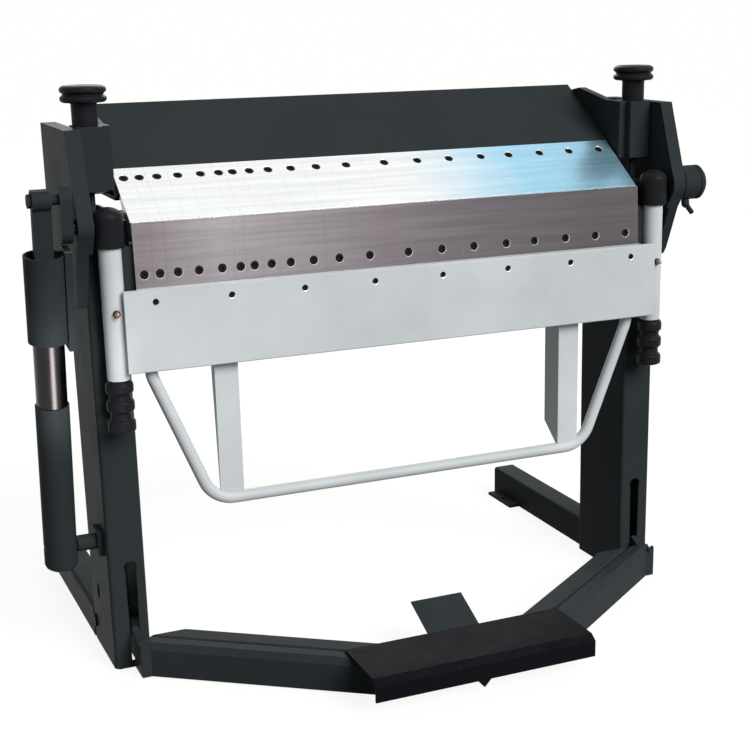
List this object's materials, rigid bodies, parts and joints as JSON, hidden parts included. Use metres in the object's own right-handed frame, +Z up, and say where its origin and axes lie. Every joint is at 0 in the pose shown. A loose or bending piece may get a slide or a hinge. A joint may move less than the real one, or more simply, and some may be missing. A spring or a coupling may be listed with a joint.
{
  "type": "sheet metal brake",
  "caption": "Floor-standing foot-clamped folding machine: segmented clamping fingers over a bed, and a hinged leaf with segmented blades that swings up to bend sheet metal.",
  "frame": {"origin": "middle of the machine's footprint, on the floor", "axes": "+X along the blades to the operator's right, +Y away from the operator, +Z up"},
  "size_m": [1.688, 1.27, 1.336],
  "materials": {
    "dark_paint": "satin",
    "white_paint": "satin",
    "pedal_paint": "matte",
    "black_plastic": "satin",
    "ground_steel": "ground",
    "blade_steel": "ground",
    "bright_steel": "machined",
    "tube_steel": "drawn"
  },
  "bodies": {
    "frame": {"column_left": "dark_paint", "column_right": "dark_paint", "cheek_left": "dark_paint", "cheek_right": "dark_paint", "rear_foot_left": "dark_paint", "rear_foot_right": "dark_paint", "pedal_pin_left": "dark_paint", "pedal_pin_right": "dark_paint", "bed_beam": "dark_paint", "bed_nose": "bright_steel", "strut_bracket": "dark_paint"},
    "pivot_carrier": {"pivot_head_left": "black_plastic", "pivot_head_right": "black_plastic", "spindle_left": "bright_steel", "spindle_right": "bright_steel", "crank": "dark_paint"},
    "leaf": {"apron": "white_paint", "leaf_bar": "dark_paint", "folding_blades": "blade_steel", "handle_bar": "white_paint", "lift_tube_left": "white_paint", "lift_tube_right": "white_paint", "handle_bracket_left": "white_paint", "handle_bracket_right": "white_paint"},
    "height_knob_left": {"height_knob_left": "black_plastic"},
    "height_knob_right": {"height_knob_right": "black_plastic"},
    "stop_collar": {"stop_collar": "dark_paint"},
    "collar_lever": {"collar_lever": "dark_paint"},
    "clamp_beam": {"clamp_beam": "dark_paint", "beam_cover": "dark_paint", "end_block_left": "dark_paint", "end_block_right": "dark_paint", "pull_rod_left": "dark_paint", "pull_rod_right": "dark_paint", "finger_01": "ground_steel", "finger_02": "ground_steel", "finger_03": "ground_steel", "finger_04": "ground_steel", "finger_05": "ground_steel", "finger_06": "ground_steel", "finger_07": "ground_steel", "finger_08": "ground_steel", "finger_09": "ground_steel", "finger_10": "ground_steel", "finger_11": "ground_steel", "finger_12": "ground_steel", "finger_13": "ground_steel", "finger_14": "ground_steel", "finger_15": "ground_steel", "finger_16": "ground_steel"},
    "top_knob_left": {"top_knob_left": "black_plastic"},
    "top_knob_right": {"top_knob_right": "black_plastic"},
    "pedal": {"pedal_arm_left": "dark_paint", "pedal_arm_right": "dark_paint", "tread": "pedal_paint"},
    "release_tab": {"release_tab": "pedal_paint"},
    "strut_lower": {"strut_lower_tube": "dark_paint", "strut_inner_tube": "tube_steel"},
    "strut_sleeve": {"strut_sleeve": "dark_paint"},
    "strut_link": {"strut_link": "dark_paint"}
  },
  "joints": [
    {"name": "leaf_swing", "type": "hinge", "parent": "frame", "child": "pivot_carrier", "pos_m": [0.02145, -0.189, 1.05], "axis": [-1, 0, 0], "range_deg": [0, 135]},
    {"name": "leaf_height", "type": "slide", "parent": "pivot_carrier", "child": "leaf", "axis": [0, 0, 1], "range_m": [-0.006, 0]},
    {"name": "height_knob_left_turn", "type": "hinge", "parent": "leaf", "child": "height_knob_left", "pos_m": [-0.66255, -0.19, 0.708], "axis": [0, 0, 1], "range_deg": [0, 360]},
    {"name": "height_knob_right_turn", "type": "hinge", "parent": "leaf", "child": "height_knob_right", "pos_m": [0.70545, -0.19, 0.708], "axis": [0, 0, 1], "range_deg": [0, 360]},
    {"name": "stop_collar_turn", "type": "hinge", "parent": "pivot_carrier", "child": "stop_collar", "pos_m": [0.02145, -0.189, 1.05], "axis": [1, 0, 0], "range_deg": [-60, 60]},
    {"name": "collar_lever_turn", "type": "hinge", "parent": "stop_collar", "child": "collar_lever", "pos_m": [0.79575, -0.1979, 1.00814], "axis": [0, -0.2079, -0.9781], "range_deg": [-60, 20]},
    {"name": "clamp_lift", "type": "slide", "parent": "frame", "child": "clamp_beam", "axis": [0, 0, 1], "range_m": [0, 0.045]},
    {"name": "top_knob_left_turn", "type": "hinge", "parent": "clamp_beam", "child": "top_knob_left", "pos_m": [-0.67005, -0.073, 1.25], "axis": [0, 0, 1], "continuous": true},
    {"name": "top_knob_right_turn", "type": "hinge", "parent": "clamp_beam", "child": "top_knob_right", "pos_m": [0.71295, -0.073, 1.25], "axis": [0, 0, 1], "continuous": true},
    {"name": "pedal_swing", "type": "hinge", "parent": "frame", "child": "pedal", "pos_m": [0.02145, 0.057, 0.052], "axis": [-1, 0, 0], "range_deg": [0, 19.84]},
    {"name": "release_tab_tilt", "type": "hinge", "parent": "pedal", "child": "release_tab", "pos_m": [0.02145, -0.452, 0.0843], "axis": [-1, 0, 0], "range_deg": [0, 8], "stiffness_Nm_per_rad": 1.5, "springref_deg": -17.19},
    {"name": "strut_tilt", "type": "hinge", "parent": "frame", "child": "strut_lower", "pos_m": [-0.80055, -0.075, 0.305], "axis": [-1, 0, 0], "range_deg": [0, 5.25]},
    {"name": "strut_sleeve_slide", "type": "slide", "parent": "strut_lower", "child": "strut_sleeve", "axis": [0, -0.1513, 0.9885], "range_m": [-0.106, 0]},
    {"name": "strut_link_turn", "type": "hinge", "parent": "pivot_carrier", "child": "strut_link", "pos_m": [-0.80055, -0.19838, 1.11129], "axis": [-1, 0, 0], "range_deg": [-131, 0]}
  ],
  "couplings": [
    {"joint": "height_knob_left_turn", "follows": "leaf_height", "rad_per_m": -1047.2},
    {"joint": "height_knob_right_turn", "follows": "leaf_height", "rad_per_m": -1047.2},
    {"joint": "pedal_swing", "follows": "clamp_lift", "rad_per_m": 7.6923},
    {"joint": "strut_tilt", "follows": "leaf_swing", "ratio": 0.0385},
    {"joint": "strut_sleeve_slide", "follows": "leaf_swing", "m_per_rad": -0.0444},
    {"joint": "strut_link_turn", "follows": "leaf_swing", "ratio": -0.9615}
  ]
}
